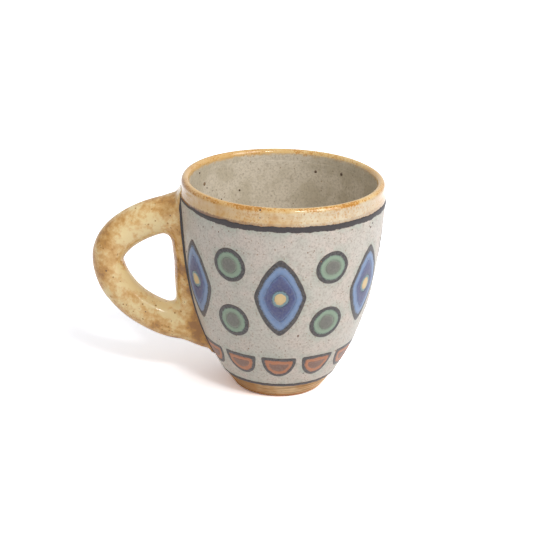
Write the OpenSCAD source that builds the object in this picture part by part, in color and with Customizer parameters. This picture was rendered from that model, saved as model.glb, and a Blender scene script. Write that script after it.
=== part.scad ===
// Jarrito: a thrown clay mug with a pulled handle luted on, a tan rim and handle,
// a pale wall and a painted frieze of diamonds, discs and half moons.
// The foot stands on z = 0, +Z is the mug's axis, and the handle points to -X.

/* [Body] */
// Height from the foot to the crest of the lip
height = 88; // [75:1:110]
// Diameter of the clay just under the lip
rim_d = 82.2; // [74:0.2:100]
// Diameter of the foot
foot_d = 36.2; // [32:0.2:46]
// Widening of the wall's radius that runs evenly from foot to lip
flare = 6; // [2:0.2:9]
// Fullness of the belly, more is fuller low down
belly_power = 3.5; // [2.6:0.1:4.4]
// Thickness of the clay at the lip
lip_t = 3; // [2.4:0.2:5]
// Thickness of the clay wall low down
low_wall_t = 4.6; // [3:0.2:6]
// Thickness of the clay floor over the recess
floor_t = 5; // [4:0.5:8]
// Height over which the floor curves up into the wall
floor_rise = 10; // [6:1:16]

/* [Foot] */
// Width of the turned foot ring
foot_ring_w = 4.6; // [3:0.2:7]
// Depth of the recess inside the foot ring
foot_recess = 1.6; // [0.8:0.2:3]
// Bevel on the outer edge of the foot
foot_bevel = 0.8; // [0.4:0.1:1.6]

/* [Handle] */
// Clear reach of the finger gap, from the panel to the inside of the bend
finger_gap = 21.2; // [17:0.2:28]
// Thickness of the coil at the bend
handle_d = 12.8; // [10:0.1:16]
// Width of the coil along the mug's side
handle_w = 13.4; // [10:0.2:15.4]
// Thickness that the coil gains towards its roots
root_swell = 3; // [1:0.2:5]
// Gap between the rim band and the upper root
upper_root_gap = 1.8; // [0.6:0.2:6]
// Height of the lower root's middle, up from the foot
lower_root_z = 25.1; // [24:0.1:30]
// Fall of the lower root on its way into the wall
lower_root_fall = 2; // [0:0.5:4]
// Place of the bend between the roots
bend_share = 0.568; // [0.45:0.002:0.65]
// Fullness of the bend, 2 is an oval and less is more pointed
bend_power = 1.8; // [1.6:0.05:2.2]

/* [Panel] */
// Width of the clay panel that backs the handle
panel_w = 16.6; // [16:0.2:20]
// Thickness of the panel's rounded middle
panel_t = 4.5; // [3:0.5:6]
// Thickness that the panel's middle gains towards the lower root
panel_low_gain = 4; // [1:0.5:5]
// Thickness of the panel at its edges
panel_edge_t = 1.2; // [0.8:0.1:2]
// How far the panel runs on below the lower root
panel_lap = 1.2; // [0.6:0.1:2]
// Thickness of the slip that lutes the panel and the handle to the body
slip_t = 0.3; // [0.2:0.05:0.6]

/* [Glaze] */
// Thickness of a glaze coat
glaze_t = 0.4; // [0.3:0.05:0.6]
// Height of the tan band round the rim
rim_band_h = 6; // [4:0.5:9]
// How far the tan glaze runs down inside, below the lip's round
rim_inside_h = 1.7; // [0.6:0.1:5]
// Height at which the wall glaze ends above the foot
glaze_end_z = 7.2; // [5:0.2:9]

/* [Lines] */
// Thickness of a painted black line
line_t = 0.2; // [0.15:0.05:0.4]
// Width of the line under the rim band
upper_line_w = 2.8; // [1.5:0.1:4]
// Width of the line above the foot
foot_line_w = 1.2; // [0.8:0.1:2]
// Width of the lines beside the panel
panel_line_w = 1; // [0.6:0.1:2]
// Width of the outlines round the painted shapes
outline_w = 1.6; // [1:0.1:2]

/* [Frieze] */
// Thickness of a painted colour
paint_t = 0.3; // [0.2:0.05:0.5]
// Divisions round the mug, one of which the handle takes
divisions = 12; // [10:2:12]
// Gap between a diamond's side and the line beside the panel
diamond_side_gap = 0.4; // [0.2:0.1:2]
// Half height of a diamond with its outline
diamond_half_h = 17; // [13:0.5:18]
// Roundness of a diamond, 1 is straight sided and 2 is an oval
diamond_power = 1.35; // [1.2:0.05:2]
// Share of a diamond's half width that its light margin takes
diamond_margin_share = 0.24; // [0.18:0.01:0.3]
// Diameter of a diamond's cream middle, as a share of the half width
dot_share = 0.46; // [0.34:0.02:0.5]
// Width of the teal ring round the cream middle
dot_ring_w = 1; // [0.6:0.1:1.4]
// Diameter of a disc with its outline
disc_d = 14; // [10:0.5:15]
// Width of a disc's green margin
disc_margin = 2.2; // [1.4:0.1:2.6]
// Height between a disc's middle and the middle of the frieze
disc_rise = 12; // [9.5:0.5:13]
// Middle of the diamonds above the middle of the wall's painted field
frieze_lift = 7; // [5:0.5:9]
// Gap between the corners of two half moons
moon_side_gap = 2.2; // [1:0.2:4]
// Height of a half moon with its outline
moon_h = 10; // [9:0.5:11]
// Gap between the foot line and the half moons
moon_gap = 4.6; // [2:0.2:6]
// Width of a half moon's light margin
moon_margin = 1.5; // [1:0.1:1.8]

/* [Hidden] */

// Facets of a full turn, of an arc and of an outline
turn_facets = 144;
arc_steps = 8;
coil_facets = 24;
outline_steps = 10;

// Number of knots on the wall's outer and inner curves
outer_steps = 20;
inner_steps = 16;
// Crowding of the inner knots towards the floor, and the fullness of the floor's corner
inner_crowding = 2;
floor_power = 3;

// Height and radius of the lip's round
clay_h = height - glaze_t;
lip_r = lip_t / 2;
lip_z = clay_h - lip_r;
lip_x = rim_d / 2 - lip_r;
floor_z = foot_recess + floor_t;

// Radius of the clay outside at a height, as a curve, and as knots joined by straight lines
belly = rim_d / 2 - foot_d / 2 - flare;
function wall_curve(t) = foot_d / 2 + belly * (1 - pow(1 - t, belly_power)) + flare * t;
outer_knots = [
    for (i = [0:outer_steps])
        let (z = foot_bevel + (lip_z - foot_bevel) * i / outer_steps)
        [z, wall_curve(z / lip_z)]
];
function outer_r(z) = lookup(z, outer_knots);

// Radius of the clay inside at a height, less a coat, over a floor raised by that coat
function wall_t_at(t) = lip_t + (low_wall_t - lip_t) * (1 - t);
function inner_curve(z, coat) =
    let (rise = min(1, (z - floor_z - coat) / floor_rise))
    (wall_curve(z / lip_z) - wall_t_at(z / lip_z) - coat)
        * pow(1 - pow(1 - rise, floor_power), 1 / floor_power);
function inner_knots(coat) = [
    for (i = [0:inner_steps])
        let (z = floor_z + coat + (lip_z - floor_z - coat) * pow(i / inner_steps, inner_crowding))
        [z, inner_curve(z, coat)]
];

// A knot nearer than this to the end of a stretch is left out
knot_gap = glaze_t / 10;
// Points of a curve between two heights, moved outwards by a coat, from low to high
function stretch(knots, low_z, high_z, coat = 0) = concat(
    [[lookup(low_z, knots) + coat, low_z]],
    [for (k = knots) if (k[0] > low_z + knot_gap && k[0] < high_z - knot_gap) [k[1] + coat, k[0]]],
    [[lookup(high_z, knots) + coat, high_z]]
);
function reversed(points) = [for (i = [len(points) - 1:-1:0]) points[i]];
// Points over the lip, from outside to inside, without its two ends
function lip_arc(coat = 0) = [
    for (i = [1:arc_steps - 1])
        let (a = 180 * i / arc_steps)
        [lip_x + (lip_r + coat) * cos(a), lip_z + (lip_r + coat) * sin(a)]
];

// Points from the rim band's lower edge over the lip to the tan glaze's end inside
function over_lip(coat) = concat(
    stretch(outer_knots, rim_band_z, lip_z, coat),
    lip_arc(coat),
    reversed(stretch(inner_knots(coat), rim_inside_z, lip_z))
);

// Heights of the bands and of the painted shapes
rim_band_z = height - rim_band_h;
rim_inside_z = lip_z - rim_inside_h;
upper_line_z = rim_band_z - upper_line_w;
foot_line_top_z = glaze_end_z + foot_line_w;
frieze_z = (foot_line_top_z + upper_line_z) / 2 + frieze_lift;
moon_z = foot_line_top_z + moon_gap + moon_h;

// Turn from one place of the frieze to the next, and the widths that fit into it
pitch_a = 360 / divisions;
moon_half_w = outer_r(moon_z) * sin(pitch_a / 2) - moon_side_gap / 2;
frieze_r = outer_r(frieze_z) + glaze_t;
panel_side_a = asin((panel_w / 2 + panel_line_w + diamond_side_gap) / frieze_r);
diamond_half_w = frieze_r * sin(pitch_a - panel_side_a);
diamond_margin = diamond_margin_share * diamond_half_w;
dot_d = dot_share * diamond_half_w;

// Path of the handle's middle: two quarters of a pulled-in oval that meet at the bend
root_r = (handle_d + root_swell) / 2;
upper_root_z = rim_band_z - upper_root_gap - root_r;
bend_z = lower_root_z + (upper_root_z - lower_root_z) * bend_share;
root_x = outer_r(upper_root_z);
bend_x = outer_r(bend_z) + slip_t + panel_t + finger_gap + handle_d / 2;
coil_steps = 11;
function coil_angle(i) = 90 * (coil_steps - i) / coil_steps;
function coil_point(i) =
    let (a = coil_angle(i), rise = a > 0 ? upper_root_z - bend_z : bend_z - lower_root_z)
    [
        -root_x - (bend_x - root_x) * pow(cos(a), 2 / bend_power),
        0,
        bend_z + rise * sign(a) * pow(abs(sin(a)), 2 / bend_power),
    ];
swell_power = 1.9;
function coil_r(i) = handle_d / 2 + root_swell / 2 * pow(abs(sin(coil_angle(i))), swell_power);
upper_end = [lip_t - root_x, 0, upper_root_z];
lower_end = [low_wall_t - outer_r(lower_root_z), 0, lower_root_z - lower_root_fall];

// The panel's rounded middle, as beads down the wall
panel_beads = 10;
function panel_bead_r(z) =
    let (low = (bend_z - z) / (bend_z - lower_root_z))
    slip_t + panel_t + panel_low_gain * max(0, min(1, low));
panel_z = lower_root_z - lower_root_fall - root_r - panel_lap;
panel_top_z = rim_band_z;
swell_low_z = panel_z + slip_t + panel_t + panel_low_gain;
swell_high_z = panel_top_z - slip_t - panel_t;

// Reach of the prisms that cut the painted shapes
prism_reach = rim_d / 2 + glaze_t + paint_t + line_t;

// Places round the mug, counted from +X, with the handle's division left out
handle_place = divisions / 2;
diamond_places = [for (i = [0:divisions - 1]) if (i != handle_place && (i - handle_place) % 2 != 0) i];
disc_places = [for (i = [0:divisions - 1]) if (i != handle_place && (i - handle_place) % 2 == 0) i];
moon_places = [for (i = [0:divisions - 1]) if (i != handle_place) i];

// A solid of revolution from points given as radius and height
module turned(points) rotate_extrude($fn = turn_facets) polygon(points);

// A coat on the outside of the wall between two heights and two distances from the clay
module wall_coat(low_z, high_z, inside, outside) {
    turned(concat(
        stretch(outer_knots, low_z, high_z, outside),
        reversed(stretch(outer_knots, low_z, high_z, inside))
    ));
}

// The full round of the wall with no hollow, moved outwards by a coat
module wall_plug(coat) {
    turned(concat([[0, 0], [foot_d / 2 + coat, 0]], stretch(outer_knots, foot_bevel, lip_z, coat), [[0, lip_z]]));
}

// The upright space that the panel takes on the handle's side
module panel_space(width = panel_w) {
    translate([-prism_reach - panel_t, -width / 2, panel_z])
        cube([prism_reach + panel_t, width, panel_top_z - panel_z]);
}

// An upright prism from the axis outwards, at a place round the mug and a height
module radial(place, z) {
    rotate(place * pitch_a)
        translate([0, 0, z])
            rotate([90, 0, 90])
                linear_extrude(height = prism_reach)
                    children();
}

// Rounded diamond, drawn as an oval whose sides are pulled in by the power
module diamond(inset) {
    steps = 4 * outline_steps;
    polygon([
        for (i = [0:steps - 1])
            let (a = 360 * i / steps)
            [
                (diamond_half_w - inset) * sign(cos(a)) * pow(abs(cos(a)), 2 / diamond_power),
                (diamond_half_h - inset * diamond_half_h / diamond_half_w)
                    * sign(sin(a)) * pow(abs(sin(a)), 2 / diamond_power),
            ]
    ]);
}

module diamonds(inset) {
    for (p = diamond_places) radial(p, frieze_z) diamond(inset);
}

module dots(width) {
    for (p = diamond_places) radial(p, frieze_z) circle(d = width, $fn = 4 * outline_steps);
}

module discs(inset) {
    for (p = disc_places, side = [-1, 1])
        radial(p, frieze_z + side * disc_rise) circle(d = disc_d - 2 * inset, $fn = 4 * outline_steps);
}

// Half moon that hangs from its straight upper edge
module half_moon(inset) {
    steps = 2 * outline_steps;
    polygon([
        for (i = [0:steps])
            let (a = 180 + 180 * i / steps)
            [(moon_half_w - inset) * cos(a), (moon_h - 2 * inset) * sin(a) - inset]
    ]);
}

module half_moons(inset) {
    for (p = moon_places) radial(p, moon_z) half_moon(inset);
}

// A coat of paint on the wall glaze where its shapes are, clear of the panel and its lines
module painted(thickness) {
    difference() {
        intersection() {
            wall_coat(foot_line_top_z, upper_line_z, glaze_t, glaze_t + thickness);
            children();
        }
        panel_space(panel_w + 2 * panel_line_w);
    }
}

// Chain of beads joined two by two
module coil() {
    last = 2 * coil_steps;
    for (i = [0:last - 1]) hull() {
        bead(coil_point(i), coil_r(i));
        bead(coil_point(i + 1), coil_r(i + 1));
    }
    hull() {
        bead(upper_end, root_r);
        bead(coil_point(0), coil_r(0));
    }
    hull() {
        bead(coil_point(last), coil_r(last));
        bead(lower_end, root_r);
    }
}

module bead(point, r) {
    translate(point) scale([r, handle_w / 2, r]) sphere(r = 1, $fn = coil_facets);
}

// Beads down the wall that make the panel's rounded middle
module panel_swell() {
    for (i = [0:panel_beads - 1]) hull() {
        panel_bead(i);
        panel_bead(i + 1);
    }
}

module panel_bead(i) {
    z = swell_low_z + (swell_high_z - swell_low_z) * i / panel_beads;
    translate([-outer_r(z), 0, z])
        scale([panel_bead_r(z), panel_w / 2, panel_bead_r(z)])
            sphere(r = 1, $fn = coil_facets);
}

// Clay

module clay_body() {
    foot_r = foot_d / 2;
    recess_r = foot_r - foot_bevel - foot_ring_w;
    color("peru")
        turned(concat(
            [[0, foot_recess], [recess_r - foot_recess, foot_recess], [recess_r, 0], [foot_r - foot_bevel, 0]],
            stretch(outer_knots, foot_bevel, lip_z),
            lip_arc(),
            reversed(stretch(inner_knots(0), floor_z, lip_z))
        ));
}

module luting_slip() {
    color("tan") intersection() {
        wall_coat(panel_z, panel_top_z, 0, slip_t);
        panel_space();
    }
}

module handle() {
    color("burlywood") difference() {
        coil();
        wall_plug(slip_t);
    }
}

module handle_backing() {
    color("burlywood") difference() {
        intersection() {
            union() {
                panel_swell();
                wall_plug(slip_t + panel_edge_t);
            }
            panel_space();
        }
        wall_plug(slip_t);
        coil();
    }
}

// Glazes

module liner_glaze() {
    color("darkkhaki") turned(concat(
        stretch(inner_knots(0), floor_z, rim_inside_z),
        reversed(stretch(inner_knots(glaze_t), floor_z + glaze_t, rim_inside_z))
    ));
}

module rim_glaze() {
    color("burlywood") turned(concat(over_lip(glaze_t), reversed(over_lip(0))));
}

module wall_glaze() {
    color("silver") difference() {
        wall_coat(glaze_end_z, rim_band_z, 0, glaze_t);
        panel_space();
    }
}

// Painted lines

module upper_line() {
    color("dimgray") difference() {
        wall_coat(upper_line_z, rim_band_z, glaze_t, glaze_t + line_t);
        panel_space();
    }
}

module foot_line() {
    color("dimgray") difference() {
        wall_coat(glaze_end_z, foot_line_top_z, glaze_t, glaze_t + line_t);
        panel_space();
    }
}

module panel_lines() {
    color("dimgray") difference() {
        intersection() {
            wall_coat(panel_z, upper_line_z, glaze_t, glaze_t + line_t);
            panel_space(panel_w + 2 * panel_line_w);
        }
        panel_space();
    }
}

// Painted frieze

module diamond_outlines() {
    color("dimgray") painted(line_t) difference() {
        diamonds(0);
        diamonds(outline_w);
    }
}

module diamond_fields() {
    color("cornflowerblue") painted(paint_t) difference() {
        diamonds(outline_w);
        diamonds(outline_w + diamond_margin);
    }
}

module diamond_cores() {
    color("darkslateblue") painted(paint_t) difference() {
        diamonds(outline_w + diamond_margin);
        dots(dot_d + 2 * dot_ring_w);
    }
}

module diamond_rings() {
    color("cadetblue") painted(paint_t) difference() {
        dots(dot_d + 2 * dot_ring_w);
        dots(dot_d);
    }
}

module diamond_dots() {
    color("navajowhite") painted(paint_t) dots(dot_d);
}

module disc_outlines() {
    color("dimgray") painted(line_t) difference() {
        discs(0);
        discs(outline_w);
    }
}

module disc_fields() {
    color("darkseagreen") painted(paint_t) difference() {
        discs(outline_w);
        discs(outline_w + disc_margin);
    }
}

module disc_cores() {
    color("gray") painted(paint_t) discs(outline_w + disc_margin);
}

module half_moon_outlines() {
    color("dimgray") painted(line_t) difference() {
        half_moons(0);
        half_moons(outline_w);
    }
}

module half_moon_fields() {
    color("sienna") painted(paint_t) difference() {
        half_moons(outline_w);
        half_moons(outline_w + moon_margin);
    }
}

module half_moon_cores() {
    color("saddlebrown") painted(paint_t) half_moons(outline_w + moon_margin);
}

clay_body();
luting_slip();
handle();
handle_backing();
liner_glaze();
rim_glaze();
wall_glaze();
upper_line();
foot_line();
panel_lines();
diamond_outlines();
diamond_fields();
diamond_cores();
diamond_rings();
diamond_dots();
disc_outlines();
disc_fields();
disc_cores();
half_moon_outlines();
half_moon_fields();
half_moon_cores();
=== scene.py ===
import math
import bpy
import numpy as np
from mathutils import Matrix, Vector
from mathutils.kdtree import KDTree


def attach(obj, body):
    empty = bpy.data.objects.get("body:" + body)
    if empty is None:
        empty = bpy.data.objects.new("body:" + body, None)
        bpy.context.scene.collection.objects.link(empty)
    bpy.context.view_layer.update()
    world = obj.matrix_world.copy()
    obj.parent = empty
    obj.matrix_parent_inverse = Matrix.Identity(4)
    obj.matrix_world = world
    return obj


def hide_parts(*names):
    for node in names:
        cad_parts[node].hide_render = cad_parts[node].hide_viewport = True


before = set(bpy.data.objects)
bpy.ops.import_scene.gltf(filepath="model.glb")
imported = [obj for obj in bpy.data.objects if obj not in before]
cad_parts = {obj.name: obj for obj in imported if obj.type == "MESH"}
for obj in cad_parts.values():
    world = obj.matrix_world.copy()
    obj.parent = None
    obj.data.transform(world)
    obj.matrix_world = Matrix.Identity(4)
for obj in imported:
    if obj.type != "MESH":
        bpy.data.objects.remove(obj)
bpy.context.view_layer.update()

# Jarrito: a thrown clay mug with a pulled handle, a tan rim and a painted wall.
# Lengths in the dictionaries are millimetres, the scene is in metres, and the foot stands on z = 0.
mm = 0.001
weld = 0.002 * mm  # points nearer than this become one
scene = bpy.context.scene
print("frame loaded:", len(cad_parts), "clay and glaze solids")


# Nodes and colours

# the second word of a node's kind sets this, and its operation where the kind isn't here
modeOf = {"MapRange": "interpolation_type", "TexNoise": "noise_dimensions", "Mix": "data_type"}


def put(tree, kind, *fills, **named):
    # adds a node. Fills go in turn into the inputs that show. A name with a capital is an input's, any other
    # is a setting's
    kind, _, mode = kind.partition(" ")
    family = "" if kind.startswith(("Geometry", "Function", "NodeGroup")) else "ShaderNode"
    node = tree.nodes.new(family + kind)
    if mode:
        setattr(node, modeOf.get(kind, "operation"), mode)
    for name, value in named.items():
        if name == "stops":
            setStops(node.color_ramp, value)
        elif name[0].islower():
            setattr(node, name, value)
    shown = [socket for socket in node.inputs if socket.enabled]
    filled = list(zip(shown, fills))
    for name, value in named.items():
        if name[0].isupper():
            label = name.replace("_", " ")
            filled.append((next(socket for socket in shown if socket.name == label), value))
    for socket, value in filled:
        if isinstance(value, bpy.types.Node):
            value = next(output for output in value.outputs if output.enabled)
        if isinstance(value, bpy.types.NodeSocket):
            tree.links.new(value, socket)
        else:
            isTint = isinstance(value, str) and value.startswith("#")
            socket.default_value = linear(value) if isTint else value
    return node


def chain(tree, value, *steps):
    # nodes in a row, each fed with the one before. A step is a node's kind and its other inputs
    for kind, *others in steps:
        value = put(tree, kind, value, *others)
    return value


def setStops(ramp, stops):
    while len(ramp.elements) < len(stops):
        ramp.elements.new(0.5)
    for element, (place, tint) in zip(ramp.elements, stops):
        element.position = place
        element.color = linear(tint)


def linear(tint):
    # sRGB hex to linear light with alpha
    parts = [int(tint[i:i + 2], 16) / 255 for i in (1, 3, 5)]
    return tuple(c / 12.92 if c <= 0.04045 else ((c + 0.055) / 1.055) ** 2.4 for c in parts) + (1.0,)


def newTree(name, starts, gives=()):
    # a node group with named numbers and their start values. It gives numbers, or takes and gives a mesh
    tree = bpy.data.node_groups.new(name, "GeometryNodeTree")
    sockets = [(label, "OUTPUT", "Float") for label in gives]
    if not gives:
        sockets = [("Geometry", "INPUT", "Geometry"), ("Geometry", "OUTPUT", "Geometry"),
                   ("Material", "INPUT", "Material")]
    for label, start in starts.items():
        sockets.append((label, "INPUT", "Int" if isinstance(start, int) else "Float"))
    for label, way, kind in sockets:
        socket = tree.interface.new_socket(name=label, in_out=way, socket_type="NodeSocket" + kind)
        if label in starts:
            socket.default_value = starts[label]
    return tree, put(tree, "NodeGroupInput").outputs


def endTree(tree, given, result):
    # every mesh tree ends so: the copies are made real and the material is set
    result = put(tree, "GeometryNodeRealizeInstances", result)
    result = put(tree, "GeometryNodeSetMaterial", result, Material=given["Material"])
    put(tree, "NodeGroupOutput", result)


def plainMesh(name, points, faces=(), edges=()):
    mesh = bpy.data.meshes.new(name)
    mesh.from_pydata([tuple(p) for p in points], list(edges), list(faces))
    return mesh


def mark(mesh, name, values):
    # keeps one number at each point of a mesh, for its material
    mesh.attributes.new(name, "FLOAT", "POINT").data.foreach_set("value", values)


def placesOf(piece):
    places = np.empty(len(piece.data.vertices) * 3)
    piece.data.vertices.foreach_get("co", places)
    return places.reshape(-1, 3)


def grown(name, start, tree, values, shell=0.0):
    # runs a tree on a start mesh, gives it a wall if asked, and keeps the result as a plain mesh
    maker = bpy.data.objects.new(name + "Maker", start)
    scene.collection.objects.link(maker)
    modifier = maker.modifiers.new("grow", "NODES")
    modifier.node_group = tree
    for item in tree.interface.items_tree:
        if item.in_out == "INPUT" and item.name in values:
            modifier[item.identifier] = values[item.name]
    if shell:
        skin = maker.modifiers.new("shell", "SOLIDIFY")
        skin.thickness = shell * mm
        skin.offset = -1
    bpy.context.view_layer.update()
    graph = bpy.context.evaluated_depsgraph_get()
    result = maker.evaluated_get(graph)
    mesh = bpy.data.meshes.new_from_object(result, preserve_all_data_layers=True, depsgraph=graph)
    mesh.name = name
    bpy.data.objects.remove(maker)
    return placed(name, mesh)


def placed(name, mesh):
    # a smooth mesh as an object of the scene
    mesh.polygons.foreach_set("use_smooth", [True] * len(mesh.polygons))
    piece = bpy.data.objects.new(name, mesh)
    scene.collection.objects.link(piece)
    return piece


def stand(piece, slotName, *nodes):
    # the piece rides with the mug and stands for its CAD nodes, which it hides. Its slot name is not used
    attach(piece, "root")
    if nodes:
        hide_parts(*nodes)
    return piece


def eased(share):
    # clipped to 0 and 1, with soft ends
    share = np.clip(share, 0, 1)
    return share * share * (3 - 2 * share)


# The thrown wall, and the traces of the hand in it

wall = {
    "height": 88.0,
    "lipHeight": 86.1,  # centre of the lip's round
    "rimRadius": 41.1,
    "footRadius": 18.1,
    "flare": 6.0,
    "bellyPower": 3.5,
    "lipWall": 3.0,
    "lowWall": 4.6,
    "recess": 1.6,
    "floor": 5.0,
    "floorRise": 10.0,  # the wall curves up from the floor over this height
    "footBevel": 0.8,
    "footRing": 4.6,
    "footSoft": 0.55,  # rounding of the foot's outer edge
    "glaze": 0.4,
    "rimBand": 81.25,  # lower edge of the tan band
    "rimInside": 84.4,  # and its edge inside the mouth
    "bandOverlap": 1.0,  # the tan glaze starts this far under the black line
    "lipEase": 0.5,  # the sponge draws the lip's outer edge in by this
    "easeOver": 3.4,  # over this height above the tan band's edge
    "panelHalf": 8.3,
}
belly = wall["rimRadius"] - wall["footRadius"] - wall["flare"]
floorHeight = wall["recess"] + wall["floor"]
lipMiddle = wall["rimRadius"] - (wall["lipWall"] + wall["lipEase"]) / 2

hand = {
    "wobble": 0.28,  # how far the wall wanders inwards from true
    "ringDepth": 0.07,  # throwing rings, left by the fingertips
    "linerRingDepth": 0.22,  # which are deeper inside
    "ringPitch": 5.2,
    "lipDip": 0.25,  # the lip isn't quite level
    "lean": 0.55,  # and leans down to one side
    "leanTurn": 15.0,
    "oval": 0.42,  # the lip is drawn in by this at the handle and opposite it
    "ovalFrom": 77.5,
    "ovalTo": 86.5,
    "seed": 7.0,
}


def wallRadius(z):
    share = np.clip(np.asarray(z, float) / wall["lipHeight"], 0, 1)
    return wall["footRadius"] + belly * (1 - (1 - share) ** wall["bellyPower"]) + wall["flare"] * share


def innerRadius(z, coat):
    share = z / wall["lipHeight"]
    rise = np.clip((z - floorHeight - coat) / wall["floorRise"], 0, 1)
    clay = wall["lipWall"] + (wall["lowWall"] - wall["lipWall"]) * (1 - share)
    return (wallRadius(z) - clay - coat) * (1 - (1 - rise) ** 3) ** (1 / 3)


wallInputs = {
    "Foot Radius": wall["footRadius"] * mm,
    "Belly": belly * mm,
    "Belly Power": wall["bellyPower"],
    "Flare": wall["flare"] * mm,
    "Lip Height": wall["lipHeight"] * mm,
}
handInputs = {
    "Wobble": hand["wobble"] * mm,
    "Ring Depth": hand["ringDepth"] * mm,
    "Ring Pitch": hand["ringPitch"] * mm,
    "Lip Dip": hand["lipDip"] * mm,
    "Lean": hand["lean"] * mm,
    "Lean Angle": math.radians(hand["leanTurn"]),
    "Oval": hand["oval"] * mm,
    "Hand Seed": hand["seed"],
}


def passOn(given, names):
    return {name: given[name] for name in names}


def circle(tree, angle):
    # how far an angle round the mug goes along x and y
    return [put(tree, "Math " + wave, angle) for wave in ("COSINE", "SINE")]


# radius of the clay at a height
radiusTree, given = newTree("wallRadius", {"Height": 0.0, **wallInputs}, ["Radius"])
share = put(radiusTree, "Math DIVIDE", given["Height"], given["Lip Height"], use_clamp=True)
left = chain(radiusTree, 1.0, ("Math SUBTRACT", share), ("Math POWER", given["Belly Power"]))
full = chain(radiusTree, 1.0, ("Math SUBTRACT", left),
             ("Math MULTIPLY_ADD", given["Belly"], given["Foot Radius"]))
full = put(radiusTree, "Math MULTIPLY_ADD", share, given["Flare"], full)
put(radiusTree, "NodeGroupOutput", full)

# what the hand does to a point: Keep scales its radius, Drop lowers it near the lip
handTree, given = newTree("handOfThePotter", {"Angle": 0.0, "Height": 0.0, **handInputs}, ["Keep", "Drop"])
height, seed = given["Height"], given["Hand Seed"]
around = circle(handTree, given["Angle"])
place = put(handTree, "CombineXYZ", *around, put(handTree, "Math MULTIPLY", height, 22.0))
noise = put(handTree, "TexNoise 4D", place, seed, Scale=0.9, Detail=1.5, Roughness=0.45)
inward = chain(handTree, noise, ("MapRange", 0.3, 0.7), ("Math MULTIPLY", given["Wobble"]))
uneven = put(handTree, "TexNoise 4D", place, seed, Scale=2.2, Detail=1.0)
sponged = put(handTree, "MapRange SMOOTHSTEP", height, 64.0 * mm, 81.0 * mm, 1.0, 0.0)  # the lip is sponged
# the rings are one spiral, a pitch to the turn
ring = chain(handTree, height, ("Math DIVIDE", given["Ring Pitch"]), ("Math MULTIPLY", math.tau),
             ("Math ADD", given["Angle"]), ("Math SINE",), ("MapRange", -1.0, 1.0),
             ("Math MULTIPLY", uneven), ("Math MULTIPLY", given["Ring Depth"]), ("Math MULTIPLY", sponged))
inward = put(handTree, "Math ADD", inward, ring)
atLip = put(handTree, "MapRange SMOOTHSTEP", height, hand["ovalFrom"] * mm, hand["ovalTo"] * mm)
keep = chain(handTree, around[0], ("Math MULTIPLY", around[0]), ("Math MULTIPLY", atLip),
             ("Math MULTIPLY_ADD", given["Oval"], inward), ("Math DIVIDE", wall["rimRadius"] * mm))
keep = put(handTree, "Math SUBTRACT", 1.0, keep)
onRim = put(handTree, "CombineXYZ", *around)
noise = put(handTree, "TexNoise 4D", onRim, seed, Scale=0.8, Detail=0.0)
dip = chain(handTree, noise, ("MapRange", 0.3, 0.7), ("Math MULTIPLY", given["Lip Dip"]))
nearLip = put(handTree, "MapRange SMOOTHSTEP", height, 55.0 * mm, 86.0 * mm)
drop = chain(handTree, given["Angle"], ("Math SUBTRACT", given["Lean Angle"]), ("Math COSINE",),
             ("MapRange", -1.0, 1.0), ("Math MULTIPLY_ADD", given["Lean"], dip), ("Math MULTIPLY", nearLip))
put(handTree, "NodeGroupOutput", keep, drop)


def claySurface(tree, given, height):
    # radius of the clay at a height, inside another tree
    return put(tree, "GeometryNodeGroup", node_tree=radiusTree, Height=height, **passOn(given, wallInputs))


def seat(tree, given, angle, height, radius):
    # puts points at an angle, height and radius, as the hand left them
    touch = put(tree, "GeometryNodeGroup", node_tree=handTree, Angle=angle, Height=height,
                **passOn(given, handInputs))
    radius = put(tree, "Math MULTIPLY", radius, touch.outputs["Keep"])
    flat = [put(tree, "Math MULTIPLY", radius, way) for way in circle(tree, angle)]
    return put(tree, "CombineXYZ", *flat, put(tree, "Math SUBTRACT", height, touch.outputs["Drop"]))


# Tree for a band of the wall: the wall glaze, and the brushed lines round the mug

bandTree, given = newTree("bandOfTheWall", {
    "Low Edge": 0.0, "High Edge": 0.08, "Coat": 0.0004, "Crown": 0.0, "Panel Half Width": 0.0,
    "Steps Around": 360, "Steps Up": 20, "Low Raggedness": 0.0, "High Raggedness": 0.0, "Thin Ends": 0.0,
    "Brush Seed": 1.0, **wallInputs, **handInputs})
grid = put(bandTree, "GeometryNodeMeshGrid", Vertices_X=given["Steps Around"], Vertices_Y=given["Steps Up"])
parts = put(bandTree, "SeparateXYZ", put(bandTree, "GeometryNodeInputPosition"))
around, up = parts.outputs[0], put(bandTree, "Math ADD", parts.outputs[1], 0.5)
ways = circle(bandTree, put(bandTree, "Math MULTIPLY", around, math.tau))
edges = []
for side, name in ((0.0, "Low"), (3.0, "High")):
    place = put(bandTree, "CombineXYZ", *ways, side)
    noise = put(bandTree, "TexNoise 4D", place, given["Brush Seed"], Scale=7.0, Detail=5.0, Roughness=0.68)
    ragged = put(bandTree, "MapRange", noise, 0.3, 0.7, -1.0, 1.0, clamp=False)
    ragged = put(bandTree, "Math MULTIPLY", ragged, given[name + " Raggedness"])
    edges.append(put(bandTree, "Math ADD", given[name + " Edge"], ragged))
low, high = edges
toEnd = chain(bandTree, around, ("Math ABSOLUTE",), ("MapRange SMOOTHSTEP", 0.36, 0.47),
              ("Math MULTIPLY", given["Thin Ends"]))
low = chain(bandTree, high, ("Math SUBTRACT", low), ("Math MULTIPLY_ADD", toEnd, low))
height = chain(bandTree, high, ("Math SUBTRACT", low), ("Math MULTIPLY_ADD", up, low))
radius = claySurface(bandTree, given, height)
gap = chain(bandTree, given["Panel Half Width"], ("Math DIVIDE", radius), ("Math ARCSINE",))
half = put(bandTree, "Math SUBTRACT", math.pi, gap)
angle = chain(bandTree, around, ("Math MULTIPLY", half), ("Math MULTIPLY", 2.0))
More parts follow.
